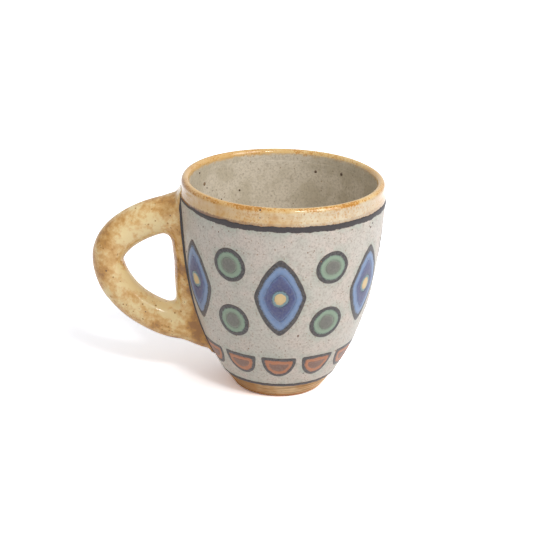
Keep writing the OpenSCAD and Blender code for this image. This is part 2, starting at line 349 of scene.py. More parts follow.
# across is 0 in the middle of a brushed band and 1 at its edges, and the paint is proudest in the middle
across = chain(bandTree, parts.outputs[1], ("Math ABSOLUTE",), ("Math MULTIPLY", 2.0))
edge = put(bandTree, "Math POWER", across, 4.0)
radius = put(bandTree, "Math ADD", radius, chain(bandTree, 1.0, ("Math SUBTRACT", edge),
                                                 ("Math MULTIPLY_ADD", given["Crown"], given["Coat"])))
result = put(bandTree, "GeometryNodeStoreNamedAttribute", grid, data_type="FLOAT", domain="POINT",
             Name="acrossBrush", Value=across)
seated = seat(bandTree, given, angle, height, radius)
result = put(bandTree, "GeometryNodeSetPosition", result, Position=seated)
result = put(bandTree, "GeometryNodeMergeByDistance", result, Distance=weld)
endTree(bandTree, given, result)

# Tree for a turned piece: its profile, drawn as radius and height, goes once round the wheel

wheelTree, given = newTree("turnedOnTheWheel", {"Steps Around": 288, **handInputs})
count = put(wheelTree, "GeometryNodeAttributeDomainSize", given["Geometry"])
grid = put(wheelTree, "GeometryNodeMeshGrid", Vertices_X=given["Steps Around"], Vertices_Y=count)
where = put(wheelTree, "GeometryNodeInputPosition")
parts = put(wheelTree, "SeparateXYZ", where)
last = put(wheelTree, "Math SUBTRACT", count, 1.0)
index = chain(wheelTree, parts.outputs[1], ("Math ADD", 0.5), ("Math MULTIPLY", last), ("Math ROUND",))
drawn = put(wheelTree, "GeometryNodeSampleIndex", data_type="FLOAT_VECTOR", clamp=True,
            Geometry=given["Geometry"], Value=where, Index=index)
drawn = put(wheelTree, "SeparateXYZ", drawn)
angle = put(wheelTree, "Math MULTIPLY", parts, math.tau)
seated = seat(wheelTree, given, angle, drawn.outputs[2], drawn.outputs[0])
result = put(wheelTree, "GeometryNodeSetPosition", grid, Position=seated)
result = put(wheelTree, "GeometryNodeMergeByDistance", result, Distance=weld)
endTree(wheelTree, given, result)

# Tree for the frieze: one flat drawn shape, repeated round the wall and laid on it with a loose brush

friezeTree, given = newTree("friezeOnTheWall", {
    "Count": 6, "First Angle": 0.0, "Step Angle": 1.0, "Middle Height": 0.05, "Coat": 0.0004,
    "Brush Wobble": 0.0004, "Brush Seed": 1.0, **wallInputs, **handInputs})
line = put(friezeTree, "GeometryNodeMeshLine", given["Count"], Offset=(0, 0, 0))
result = put(friezeTree, "GeometryNodeInstanceOnPoints", line, Instance=given["Geometry"])
result = put(friezeTree, "GeometryNodeStoreNamedAttribute", result, data_type="FLOAT", domain="INSTANCE",
             Name="place", Value=put(friezeTree, "GeometryNodeInputIndex"))
result = put(friezeTree, "GeometryNodeRealizeInstances", result)
place = put(friezeTree, "GeometryNodeInputNamedAttribute", "place", data_type="FLOAT")
flat = put(friezeTree, "GeometryNodeInputPosition")
shift = put(friezeTree, "CombineXYZ", place, place)  # each copy meets another part of the noise
parts = chain(friezeTree, flat, ("VectorMath ADD", shift), ("SeparateXYZ",))
onPlane = put(friezeTree, "CombineXYZ", parts.outputs[0], parts.outputs[1])
noise = put(friezeTree, "TexNoise 4D", onPlane, given["Brush Seed"], Scale=110.0, Detail=4.0, Roughness=0.58)
loose = chain(friezeTree, noise.outputs["Color"], ("VectorMath SUBTRACT", (0.5, 0.5, 0.5)),
              ("VectorMath SCALE", 4.0), ("VectorMath SCALE", given["Brush Wobble"]))
drawn = put(friezeTree, "SeparateXYZ", flat).outputs
loose = put(friezeTree, "SeparateXYZ", loose).outputs
x, y = (put(friezeTree, "Math ADD", drawn[i], loose[i]) for i in (0, 1))
height = put(friezeTree, "Math ADD", y, given["Middle Height"])
radius = put(friezeTree, "Math ADD", claySurface(friezeTree, given, height), given["Coat"])
turn = put(friezeTree, "Math MULTIPLY_ADD", place, given["Step Angle"], given["First Angle"])
angle = chain(friezeTree, x, ("Math DIVIDE", radius), ("Math ARCSINE",), ("Math ADD", turn))
radius = put(friezeTree, "Math ADD", radius, drawn[2])
seated = seat(friezeTree, given, angle, height, radius)
endTree(friezeTree, given, put(friezeTree, "GeometryNodeSetPosition", result, Position=seated))

# Tree for iron specks: grains of iron in the clay that melt through the glaze

speckTree, given = newTree("ironSpecks", {
    "Specks per Square Metre": 3000.0, "Smallest": 0.0002, "Largest": 0.0005, "Flatness": 0.3,
    "Outer Side": 1.0, "Lowest": 0.0, "Seed": 1})
where = put(speckTree, "GeometryNodeInputPosition")
outward = put(speckTree, "VectorMath MULTIPLY", where, (1.0, 1.0, 0.0))
facing = chain(speckTree, outward, ("VectorMath DOT_PRODUCT", put(speckTree, "GeometryNodeInputNormal")),
               ("Math MULTIPLY", given["Outer Side"]), ("Math GREATER_THAN", 0.0))
above = put(speckTree, "SeparateXYZ", where).outputs[2]
chosen = chain(speckTree, above, ("Math GREATER_THAN", given["Lowest"]), ("Math MULTIPLY", facing))
points = put(speckTree, "GeometryNodeDistributePointsOnFaces", given["Geometry"], chosen,
             Density=given["Specks per Square Metre"], Seed=given["Seed"]).outputs
grain = put(speckTree, "GeometryNodeMeshUVSphere", 8, 4, 1.0)
index = put(speckTree, "GeometryNodeInputIndex")
size = put(speckTree, "FunctionNodeRandomValue", data_type="FLOAT", ID=index, Seed=given["Seed"])
size = chain(speckTree, size, ("Math POWER", 2.5),  # most are small
             ("MapRange", 0.0, 1.0, given["Smallest"], given["Largest"]))
shape = put(speckTree, "CombineXYZ", size, size, put(speckTree, "Math MULTIPLY", size, given["Flatness"]))
result = put(speckTree, "GeometryNodeInstanceOnPoints", points[0],
             Instance=grain, Rotation=points[2], Scale=shape)
endTree(speckTree, given, result)
print("node trees built")


# Materials

def cleared(owner):
    # the node tree of a material or a world, emptied
    owner.use_nodes = True
    owner.node_tree.nodes.clear()
    return owner.node_tree


def newMaterial(name):
    material = bpy.data.materials.new(name)
    tree = cleared(material)
    return material, tree, put(tree, "TexCoord").outputs["Object"]


def fired(tree, shade, roughness, ior=1.5, relief=None, strength=0.0, depth=0.0):
    # the fired surface: its colour, how rough it is, and a fine relief this deep
    shader = put(tree, "BsdfPrincipled", Base_Color=shade, Roughness=roughness, IOR=ior)
    if relief is not None:
        bump = put(tree, "Bump", Strength=strength, Distance=depth * mm, Height=relief)
        tree.links.new(bump.outputs[0], shader.inputs["Normal"])
    put(tree, "OutputMaterial", shader)


def perMm(size):
    # noise scale for features of this size
    return 1 / (size * mm)


def stained(tree, base, tint, share, *span):
    # a tint over a base by a share, which a span of four numbers brings from a pattern's range to its own
    if span:
        share = put(tree, "MapRange", share, *span)
    return put(tree, "Mix RGBA", share, base, tint)


def dots(tree, where, spacing, size, share, shift=0.0):
    # 1 in dots of a size: cells one spacing wide, of which a share hold a dot
    moved = put(tree, "VectorMath ADD", where, (shift, shift, shift))
    cells = put(tree, "TexVoronoi", moved, Scale=perMm(spacing)).outputs
    chosen = chain(tree, cells["Color"], ("SeparateColor",), ("Math LESS_THAN", share))
    inner, outer = 0.25 * size / spacing, 0.75 * size / spacing
    return chain(tree, cells["Distance"], ("MapRange SMOOTHSTEP", inner, outer, 1.0, 0.0),
                 ("Math MULTIPLY", chosen))


# Iron tan glaze: a glossy stoneware glaze with iron in it, poured over the rim and the handle and fired on.
# The eye sees cream where it pools, ochre and toasted brown where it is thin, freckles and pinholes where
# iron comes through, and a clear gloss over slight orange peel. Its pinholes are drawn at 0.5 mm and its
# freckles at 0.7, coarser than most real ones, so that they show.
# On the handle the toasted brown is partly painted shade, on the sides that face away from the lamps
handleGlaze = {
    "cream": "#fce3ab",
    "tan": "#ebc07f",
    "ochre": "#d49f57",
    "toasted": "#a97848",
    "pit": "#744a2c",
    "freckle": "#b3803f",
    "patch": 9.0,
    "mottle": 2.2,
    "spread": 0.86,  # the smaller, the harder cream and brown part
    "crowd": 0.4,  # share of freckles where they cluster
    "peel": 1.6,
    "lump": 6.0,
}


def tanShade(tree, where, tints, thinAndShaded=None):
    # colour, mottle and pits of the tan glaze. The last input is 1 where the glaze is thinnest and where
    # shade is painted
    patch = put(tree, "TexNoise", where, Scale=perMm(tints["patch"]), Detail=2.0, Roughness=0.5)
    mottle = put(tree, "TexNoise", where, Scale=perMm(tints["mottle"]), Detail=4.0, Roughness=0.62)
    depth = put(tree, "Math MULTIPLY_ADD", mottle, 0.4, put(tree, "Math MULTIPLY", patch, 0.6))
    if thinAndShaded is not None:
        depth = put(tree, "Math MULTIPLY_ADD", thinAndShaded, -0.12, depth)
    stops = [(0.47 + away * tints["spread"], tints[name]) for away, name in
             ((-0.19, "toasted"), (-0.08, "ochre"), (0.01, "tan"), (0.11, "cream"))]
    shade = put(tree, "ValToRGB", depth, stops=stops)
    cluster = put(tree, "TexNoise", where, Scale=perMm(7.0), Detail=2.0)
    cluster = put(tree, "MapRange", cluster, 0.5, 0.66, 0.03, tints["crowd"])
    shade = stained(tree, shade, tints["freckle"], dots(tree, where, 1.3, 0.7, cluster, 0.2))
    pits = dots(tree, where, 2.6, 0.5, 0.12)
    return stained(tree, shade, tints["pit"], pits), mottle, pits


ironTan, tree, where = newMaterial("ironTanGlaze")
# the handle's number is partly thin glaze and partly painted shade, which darkens the colour the same way
thinAndShaded = put(tree, "Attribute", attribute_name="thinGlaze").outputs["Fac"]
shade, mottle, pits = tanShade(tree, where, handleGlaze, thinAndShaded)
gloss = put(tree, "MapRange", mottle, 0.3, 0.7, 0.14, 0.26)
gloss = chain(tree, thinAndShaded, ("Math MULTIPLY_ADD", 0.15, gloss), ("Math MAXIMUM", 0.08))  # glassy where it pools
peel = put(tree, "TexNoise", where, Scale=perMm(handleGlaze["peel"]), Detail=2.0)
lumps = put(tree, "TexNoise", where, Scale=perMm(handleGlaze["lump"]), Detail=1.0)
peel = put(tree, "Math MULTIPLY_ADD", pits, -0.6, peel)
peel = put(tree, "Math MULTIPLY_ADD", lumps, 4.0, peel)
fired(tree, shade, gloss, 1.42, peel, 0.5, 0.16)

# Satin white glaze: a semi-matt stoneware glaze over speckled clay. The eye sees a warm grey white that
# drifts to a cool green grey beside the painted oxides, crowded fine specks where the clay's iron shows
# through, and a soft sheen. The specks are drawn at 0.5 to 0.9 mm, as finer ones wouldn't show.
wallTints = {
    "warm": "#d9cdc3",
    "pale": "#d2cbc1",
    "halo": "#b9beb2",
    "dark": "#a19388",
    "freckle": "#a68e79",
    "iron": "#7d5639",
    "crowd": 0.6,  # share of freckles where they are thickest
    "ironShare": 0.16,
    "patch": 12.0,
}
linerTints = {  # the same glaze, poured inside and thicker, so greyer and smoother
    "warm": "#dfd4c1",
    "pale": "#cdc2ac",
    "dark": "#a59a85",
    "freckle": "#9b866c",
    "iron": "#84705a",
    "crowd": 0.08,
    "ironShare": 0.03,
    "patch": 10.0,
    "roughness": 0.4,
}


def satinShade(tree, where, tints, halo=None):
    # colour of the satin glaze, its patches and its fine grain. halo is a socket, 1 beside painted oxides
    patch = put(tree, "TexNoise", where, Scale=perMm(tints["patch"]), Detail=4.0, Roughness=0.6)
    shade = put(tree, "ValToRGB", patch, stops=[(0.42, tints["pale"]), (0.56, tints["warm"])])
    if halo is not None:
        shade = stained(tree, shade, tints["halo"], halo)
    fine = put(tree, "TexNoise", where, Scale=perMm(0.9), Detail=3.0, Roughness=0.75)
    shade = stained(tree, shade, tints["dark"], fine, 0.46, 0.72, 0.0, 0.75)
    crowd = put(tree, "MapRange", patch, 0.4, 0.62, 0.4 * tints["crowd"], tints["crowd"])
    shade = stained(tree, shade, tints["freckle"], dots(tree, where, 1.15, 0.5, crowd))
    shade = stained(tree, shade, tints["iron"], dots(tree, where, 2.4, 0.62, tints["ironShare"], 0.3))
    return shade, patch, fine


satinWhite, tree, where = newMaterial("satinWhiteGlaze")
broken = put(tree, "TexNoise", where, Scale=perMm(5.0), Detail=3.0)
broken = put(tree, "MapRange", broken, 0.36, 0.6)
halo = put(tree, "Attribute", attribute_name="nearPaint").outputs["Fac"]
shade, patch, fine = satinShade(tree, where, wallTints, put(tree, "Math MULTIPLY", halo, broken))
fired(tree, shade, put(tree, "MapRange", patch, 0.3, 0.7, 0.42, 0.54), relief=fine, strength=0.4, depth=0.1)

# Rim and liner: the tan glaze is paler and pinker over the rim, breaks to rust on the lip's outer edge, and
# melts into the liner on the lip's inner side. The eye sees a wet gloss with toasted streaks round the rim.
# Both coats read the same place, so the join can't be seen.
rimTints = {
    "cream": "#eed9b0",
    "tan": "#e6c996",
    "ochre": "#d4a767",
    "toasted": "#b98652",
    "pit": "#6d4222",
    "freckle": "#bf8a48",
    "crowd": 0.35,
    "gold": "#f0c982",  # over the top of the lip
    "amber": "#dba557",  # where it lies thinner, by the handle and at the far tip
    "chalk": "#cec4b1",  # where it lies thicker, away from the handle
    "rust": "#c88214",
    "burnt": "#824f0e",
    "bleed": "#7d4c22",  # iron out of the black line
    "speckle": "#c9882f",
    "patch": 7.0,
    "mottle": 1.8,
    "spread": 1.0,
    "streak": 1.1,  # height of the rust streaks, which run round the rim
    "cloud": 13.0,
    "salt": 0.8,
    "linerTop": 85.5,
    "handleEnd": -40.1,  # no iron bleeds on to the handle, beyond this
}


def lipGlaze(name):
    material, tree, where = newMaterial(name)
    x, y, z = put(tree, "SeparateXYZ", where).outputs
    tan, mottle, _ = tanShade(tree, where, rimTints)
    grey, _, fine = satinShade(tree, where, linerTints)
    # turn is the angle round the lip's section: 0 faces out, a quarter turn up, a half turn in
    flat = put(tree, "VectorMath MULTIPLY", where, (1.0, 1.0, 0.0))
    outer = chain(tree, flat, ("VectorMath LENGTH",), ("Math SUBTRACT", lipMiddle * mm))
    turn = chain(tree, z, ("Math SUBTRACT", wall["lipHeight"] * mm), ("Math ARCTAN2", outer))
    # gold on the lip's top, chalky and amber sides
    gold = put(tree, "MapRange SMOOTHSTEP", turn, -0.2, 1.0, 0.0, 0.7)
    tan = stained(tree, tan, rimTints["gold"], gold)
    chalk = put(tree, "MapRange", x, -10.0 * mm, 32.0 * mm, 0.0, 0.6)
    chalk = put(tree, "Math SUBTRACT", chalk, gold, use_clamp=True)
    tan = stained(tree, tan, rimTints["chalk"], chalk)
    amber = put(tree, "MapRange", x, -18.0 * mm, 8.0 * mm, 0.5, 0.0)
    amber = put(tree, "Math MAXIMUM", amber, put(tree, "MapRange", x, 32.0 * mm, 38.5 * mm, 0.0, 0.5))
    tan = stained(tree, tan, rimTints["amber"], amber)
    # rust on the outer edge, which runs over the top too on the far side
    back = put(tree, "Math MULTIPLY_ADD", x, -0.5, y)
    back = put(tree, "MapRange", back, -12.0 * mm, 20.0 * mm, 1.0, 0.4)
    fall = put(tree, "Math MULTIPLY", put(tree, "MapRange SMOOTHSTEP", turn, 1.2, 1.85, 0.0, 0.25), back)
    rise = put(tree, "Math SUBTRACT", put(tree, "MapRange SMOOTHSTEP", turn, -0.5, 0.6, -0.19, 0.1), fall)
    flatways = put(tree, "VectorMath MULTIPLY", where, (0.2, 0.2, 1.0))
    streak = put(tree, "TexNoise", flatways, Scale=perMm(rimTints["streak"]), Detail=5.0, Roughness=0.78)
    cloud = put(tree, "TexNoise", where, Scale=perMm(rimTints["cloud"]), Detail=2.0)
    salt = put(tree, "TexNoise", where, Scale=perMm(rimTints["salt"]), Detail=2.0, Roughness=0.7)
    rust = rise
    for pattern, weight in ((streak, 0.5), (cloud, 0.6), (salt, 0.6), (x, -1.2)):
        rust = put(tree, "Math MULTIPLY_ADD", pattern, weight, rust)
    tan = stained(tree, tan, rimTints["rust"], rust, 0.89, 1.0, 0.0, 0.85)
    tan = stained(tree, tan, rimTints["burnt"], rust, 1.02, 1.1, 0.0, 0.6)
    salt = put(tree, "Math MULTIPLY_ADD", cloud, 0.5, salt)
    tan = stained(tree, tan, rimTints["speckle"], salt, 0.8, 0.93, 0.0, 0.6)
    # iron bleeds up from the black line, most on the handle's side
    onRim = put(tree, "Math GREATER_THAN", x, rimTints["handleEnd"] * mm)
    bled = put(tree, "Math MULTIPLY", put(tree, "MapRange", x, -30.0 * mm, 0.0, 1.0, 0.3), onRim)
    above = chain(tree, z, ("Math SUBTRACT", wall["rimBand"] * mm), ("Math DIVIDE", mm))
    above = chain(tree, fine, ("Math MULTIPLY_ADD", -1.6, above), ("MapRange", -0.5, 0.05, 0.9, 0.0),
                  ("Math MULTIPLY", bled))
    tan = stained(tree, tan, rimTints["bleed"], above)
    # the liner takes over on the inner side of the lip
    upper = put(tree, "Math SUBTRACT", z, rimTints["linerTop"] * mm)
    outer = put(tree, "Math MULTIPLY_ADD", mottle, 3.0 * mm, put(tree, "Math MAXIMUM", outer, upper))
    outer = put(tree, "MapRange SMOOTHSTEP", outer, 0.9 * mm, 2.1 * mm)
    gloss = put(tree, "MapRange", outer, 0.0, 1.0, linerTints["roughness"], 0.11)
    relief = put(tree, "Math MULTIPLY_ADD", mottle, 0.5, fine)
    fired(tree, stained(tree, grey, tan, outer), gloss, relief=relief, strength=0.16, depth=0.1)
    return material


rimTan = lipGlaze("ironTanRimGlaze")
satinLiner = lipGlaze("satinLinerGlaze")

# Bare stoneware: the foot is turned on the wheel when leather hard and wiped clean of glaze.
# The eye sees toasted buff clay, dull, with fine scratches round the foot and grains of grog. The scratches
# and the grit are drawn at 0.8 and 0.4 mm, coarser than real ones, so that they show.
footClay = {
    "pale": "#f0cfa2",
    "toasted": "#d6a066",
    "grooveAndShade": "#946430",
    "footEdge": "#b06f34",  # darker orange towards the foot's bottom edge
    "grog": "#8a6238",
    "patch": 7.0,
    "scratch": 0.8,
    "grit": 0.4,
    "roughness": 0.72,
}
stoneware, tree, where = newMaterial("turnedStoneware")
x, _, z = put(tree, "SeparateXYZ", where).outputs
patch = put(tree, "TexNoise", where, Scale=perMm(footClay["patch"]), Detail=4.0, Roughness=0.6)
shade = put(tree, "ValToRGB", patch, stops=[(0.38, footClay["toasted"]), (0.6, footClay["pale"])])
flatways = put(tree, "VectorMath MULTIPLY", where, (0.06, 0.06, 1.0))
lines = put(tree, "TexNoise", flatways, Scale=perMm(footClay["scratch"]), Detail=3.0, Roughness=0.6)
low = put(tree, "Math MULTIPLY_ADD", patch, -4.0 * mm, z)
shade = stained(tree, shade, footClay["grooveAndShade"], lines, 0.47, 0.64, 0.0, 0.8)
shade = stained(tree, shade, footClay["grooveAndShade"], x, -16.0 * mm, 2.0 * mm, 0.75, 0.0)  # painted shade: darker towards the handle's side, away from the lamps
shade = stained(tree, shade, footClay["footEdge"], low, -1.6 * mm, 0.3 * mm, 0.85, 0.0)
shade = stained(tree, shade, footClay["grog"], dots(tree, where, 1.3, 0.3, 0.35))
grit = put(tree, "TexNoise", where, Scale=perMm(footClay["grit"]), Detail=2.0)
grit = put(tree, "Math ADD", lines, grit)
fired(tree, shade, footClay["roughness"], relief=grit, strength=0.5, depth=0.15)


# Underglaze colours: oxides brushed on the raw glaze and fired into it, so their edges bleed a little.
# The eye sees a dense core that pales towards the outline, brush drag, and the satin of the glaze. The
# drag is drawn at 0.9 mm, coarser than a brush's hairs, so that it shows.
def brushed(name, stops, attribute="brushDepth", bleed=0.12, drag=0.2, dragTint="#b9b3ab", roughness=0.48):
    # stops give a tint at each depth in from the outline's outer edge
    deepest = stops[-1][0]
    material, tree, where = newMaterial(name)
    depth = put(tree, "Attribute", attribute_name=attribute).outputs["Fac"]
    soft = put(tree, "TexNoise", where, Scale=perMm(2.8), Detail=3.0, Roughness=0.6)
    grain = put(tree, "TexNoise", where, Scale=perMm(0.45), Detail=1.0)
    for pattern, reach in ((soft, bleed * 2.2), (grain, bleed)):
        pattern = put(tree, "MapRange", pattern, 0.3, 0.7, -reach, reach, clamp=False)
        depth = put(tree, "Math ADD", depth, pattern)
    depth = put(tree, "Math DIVIDE", depth, deepest)
    shade = put(tree, "ValToRGB", depth, stops=[(at / deepest, tint) for at, tint in stops])
    hairs = put(tree, "TexNoise", where, Scale=perMm(0.9), Detail=4.0, Roughness=0.75)
    hairs = put(tree, "MapRange", hairs, 0.4, 0.72, 0.0, drag)
    fired(tree, stained(tree, shade, dragTint, hairs), roughness, relief=hairs, strength=0.25, depth=0.08)
    return material


frieze = {
    "outline": 1.6,
    "diamond": {"halfWidth": 10.115, "halfHeight": 17.0, "power": 1.35, "margin": 2.43, "ring": 3.33,
                "dot": 2.33, "middle": 50.8, "count": 6, "first": -150.0, "step": 60.0},
    "disc": {"radius": 7.0, "margin": 2.2, "rise": 12.0, "middle": 50.8, "count": 5, "first": -120.0,
             "step": 60.0},
    "halfMoon": {"halfWidth": 6.912, "height": 10.0, "margin": 1.5, "middle": 23.0, "count": 11,
                 "first": -150.0, "step": 30.0},
    "relief": 0.12,  # the painted colour stands this proud of the glaze
    "back": -0.2,  # and reaches this far into it
    "wobble": 0.3,
}
black = "#221c1e"
oxideEdge = [(0.0, "#4b392e"), (0.3, black)]  # the black outline bleeds to brown
bluePaint = brushed("cobaltUnderglaze", oxideEdge + [
    (1.4, black), (1.85, "#7085a6"), (2.5, "#7c95bc"), (3.1, "#738db5"), (4.8, "#3d4775"), (6.6, "#343a66"),
    (7.0, "#3f5064"), (7.25, "#6d8c94"), (7.85, "#78969c"), (8.15, "#dcbd8a"), (10.0, "#e3c692")])
greenPaint = brushed("copperUnderglaze", oxideEdge + [
    (1.4, black), (1.85, "#7c9482"), (2.5, "#8ea38c"), (3.1, "#869a85"), (4.4, "#6a6a61"), (7.0, "#63625c")])
redPaint = brushed("ironRedUnderglaze", oxideEdge + [
    (1.3, black), (1.65, "#a86841"), (2.1, "#b56f4a"), (2.9, "#b9764f"), (3.3, "#7f5946"), (5.0, "#735042")])
linePaint = brushed("blackBrushLine", [(0.0, black), (0.7, black), (0.92, "#3c2f2a"), (1.0, "#5a4436")],
                    "acrossBrush", 0.07, 0.24, "#54443c", 0.55)


def drifting(name, stops, roughness, detail=2.0):
    # tints that drift into each other every few millimetres
    material, tree, where = newMaterial(name)
    patch = put(tree, "TexNoise", where, Scale=perMm(3.0), Detail=detail)
    fired(tree, put(tree, "ValToRGB", patch, stops=stops), roughness)
    return material


# Melted iron: single grains that boiled through the glaze. The eye sees glassy dots, rusty brown to nearly
# black. In the thicker liner they stay under the surface, softer and paler.
ironMelt = drifting("meltedIron", [(0.4, "#3d2a21"), (0.62, "#875a36")], 0.35)
softIron = drifting("sunkenIron", [(0.4, "#594a3b"), (0.62, "#8d755b")], 0.35)

# Joining slip: thin clay brushed into the joint and fired. The eye sees a dull buff seam, if anything
joinSlip = drifting("joiningSlip", [(0.4, "#a98660"), (0.6, "#c09c72")], 0.9, 3.0)
print("materials mixed")


# Turned pieces: clay body, liner glaze and rim glaze, each from its profile

def upTheWall(low, high, steps, coat):
    z = np.linspace(low, high, steps)
    ease = wall["lipEase"] * eased((z - wall["rimBand"]) / wall["easeOver"])
    return list(zip(wallRadius(z) + coat - ease, z))


def upInside(low, high, steps, coat):
    z = low + (high - low) * np.linspace(0, 1, steps) ** 2
    return list(zip(innerRadius(z, coat), z))


def overTheLip(coat, steps=24):
    reach, rise = (wall["lipWall"] - wall["lipEase"]) / 2 + coat, wall["lipWall"] / 2 + coat
    turns = np.linspace(0, math.pi, steps)[1:-1]
    return [(lipMiddle + reach * math.cos(turn), wall["lipHeight"] + rise * math.sin(turn)) for turn in turns]


def lengthsAlong(points):
    return np.concatenate([[0], np.cumsum(np.hypot(*np.diff(points, axis=0).T))])


def softened(points, reach, low):
    # rounds the corners below a height, as a sponge does
    points = np.array(points, float)
    length = lengthsAlong(points)
    even = np.arange(0, length[-1], reach / 3)
    dense = np.stack([np.interp(even, length, points[:, i]) for i in (0, 1)], 1)
    smooth = dense.copy()
    for i in range(2, len(dense) - 2):
        if dense[i, 1] < low:
            smooth[i] = dense[i - 2:i + 3].mean(0)
    smooth[0] = points[0]
    return [tuple(p) for p in smooth] + [tuple(points[-1])]


def turned(name, points, material, steps=300, hands=()):
    # spins a profile, a chain of radius and height, once round the wheel
    line = [(i, i + 1) for i in range(len(points) - 1)]
    profile = plainMesh(name + "Profile", [(radius * mm, 0, z * mm) for radius, z in points], edges=line)
    return grown(name, profile, wheelTree, {"Steps Around": steps, "Material": material, **dict(hands)})


recessRadius = wall["footRadius"] - wall["footBevel"] - wall["footRing"]
footTop = 2.0  # the foot's own profile ends here
footProfile = softened([
    (0, wall["recess"]), (recessRadius - wall["recess"], wall["recess"]), (recessRadius, 0),
    (wall["footRadius"] - wall["footSoft"], 0), (float(wallRadius(wall["footSoft"])), wall["footSoft"]),
    (float(wallRadius(footTop)), footTop)], 0.5, 1.9)
bodyProfile = footProfile + upTheWall(2.6, wall["lipHeight"], 60, 0) + overTheLip(0)
bodyProfile += upInside(floorHeight, wall["lipHeight"], 60, 0)[::-1]
stand(turned("clayBody", bodyProfile, stoneware), "clay", "clay_body")

coat = wall["glaze"]
linerProfile = upInside(floorHeight, wall["rimInside"], 70, 0)
linerProfile += upInside(floorHeight + coat, wall["rimInside"], 110, coat)[::-1]
linerRings = {"Ring Depth": hand["linerRingDepth"] * mm}
linerGlaze = turned("linerGlaze", linerProfile, satinLiner, 300, linerRings)
stand(linerGlaze, "liner_glaze", "liner_glaze")


def rimSkin(coat):
    z = np.linspace(wall["lipHeight"], wall["rimInside"] - 2.8, 16)
    sink = 0.02 * np.clip(wall["rimInside"] - z, 0, None)  # so slowly into the liner that no join shows
    inside = list(zip(innerRadius(z, coat) + sink, z))
    outside = upTheWall(wall["rimBand"] - wall["bandOverlap"], wall["lipHeight"], 14, coat)
    return outside + overTheLip(coat) + inside


rimProfile = rimSkin(coat + 0.02) + rimSkin(0)[::-1]  # a hair over the liner
rimGlaze = turned("rimGlaze", rimProfile + rimProfile[:1], rimTan, 360)
stand(rimGlaze, "tan_glaze", "rim_glaze")
print("body, liner and rim turned")

# Wall glaze and the brushed lines. Thin Ends is a share, and the rest are lengths and counts

band = {
    "wallGlaze": {"Low Edge": 7.3, "High Edge": 80.85, "Coat": 0.4, "Steps Around": 361, "Steps Up": 112,
                  "Low Raggedness": 0.12},
    "upperLine": {"Low Edge": 78.75, "High Edge": 81.25, "Coat": 0.41, "Crown": 0.16, "Steps Around": 961,
                  "Steps Up": 9, "Low Raggedness": 0.62, "High Raggedness": 0.42, "Thin Ends": 0.6,
                  "Brush Seed": 3.0},
    "footLine": {"Low Edge": 7.0, "High Edge": 8.6, "Coat": 0.41, "Crown": 0.12, "Steps Around": 721,
                 "Steps Up": 7, "Low Raggedness": 0.2, "High Raggedness": 0.34, "Brush Seed": 5.0},
}


def inMetres(values, asTheyAre):
    # lengths are the numbers with a point, apart from the ones named
    return {key: value * mm if isinstance(value, float) and key not in asTheyAre else value
            for key, value in values.items()}


def bandOf(name, material, shell, panelHalf):
    values = inMetres({**band[name], "Panel Half Width": panelHalf}, ("Brush Seed", "Thin Ends"))
    start = plainMesh(name + "Start", [(0, 0, 0)])
    return grown(name, start, bandTree, {**values, "Material": material}, shell)


wallGlaze = stand(bandOf("wallGlaze", satinWhite, 0.38, wall["panelHalf"] - 0.3), "wall_glaze", "wall_glaze")
stand(bandOf("upperLine", linePaint, 0.3, wall["panelHalf"]), "black_line", "upper_line")
stand(bandOf("footLine", linePaint, 0.3, 0.0), "black_line", "foot_line")
print("wall glazed and lined")


# Painted frieze: each shape is drawn flat, in loops that follow its outline inwards

def evenly(points, spacing):
    # points at even steps along a closed outline
    points = np.vstack([points, points[:1]])
    length = lengthsAlong(points)
    steps = max(12, int(length[-1] / spacing))
    even = np.linspace(0, length[-1], steps, endpoint=False)
    return np.stack([np.interp(even, length, points[:, i]) for i in (0, 1)], 1)


def rounded(points, times):
    # rounds the corners of a closed outline, as a full brush does
    for _ in range(times):
        points = (np.roll(points, 1, 0) + 2 * points + np.roll(points, -1, 0)) / 4
    return points


def diamondLoop(inset):
    shape = frieze["diamond"]
    turn = np.linspace(0, math.tau, 720, endpoint=False)
    x, y = np.cos(turn), np.sin(turn)
    wide, high = shape["halfWidth"] - inset, shape["halfHeight"] * (1 - inset / shape["halfWidth"])
    bow = 2 / shape["power"]
    return np.stack([wide * np.sign(x) * abs(x) ** bow, high * np.sign(y) * abs(y) ** bow], 1)


def discLoop(radius):
    turn = np.linspace(0, math.tau, 84, endpoint=False)
    return np.stack([radius * np.cos(turn), radius * np.sin(turn)], 1)


def halfMoonLoop(inset):
    shape = frieze["halfMoon"]
    turn = np.linspace(math.pi, math.tau, 400)
    wide, high = shape["halfWidth"] - inset, shape["height"] - 2 * inset
    arc = np.stack([wide * np.cos(turn), high * np.sin(turn) - inset], 1)
    top = np.linspace(wide, -wide, 200)[1:-1]
    return np.vstack([arc, np.stack([top, np.full(len(top), -inset)], 1)])


def shapeLoops(drawLoop, insets, spacing, times):
    # the outer loop's even steps are used for every inset, so that the loops line up
    outer = drawLoop(0)
    even = evenly(outer, spacing)
    pick = [int(np.argmin(np.hypot(*(outer - point).T))) for point in even]
    return [rounded(drawLoop(inset)[pick], times) for inset in insets]


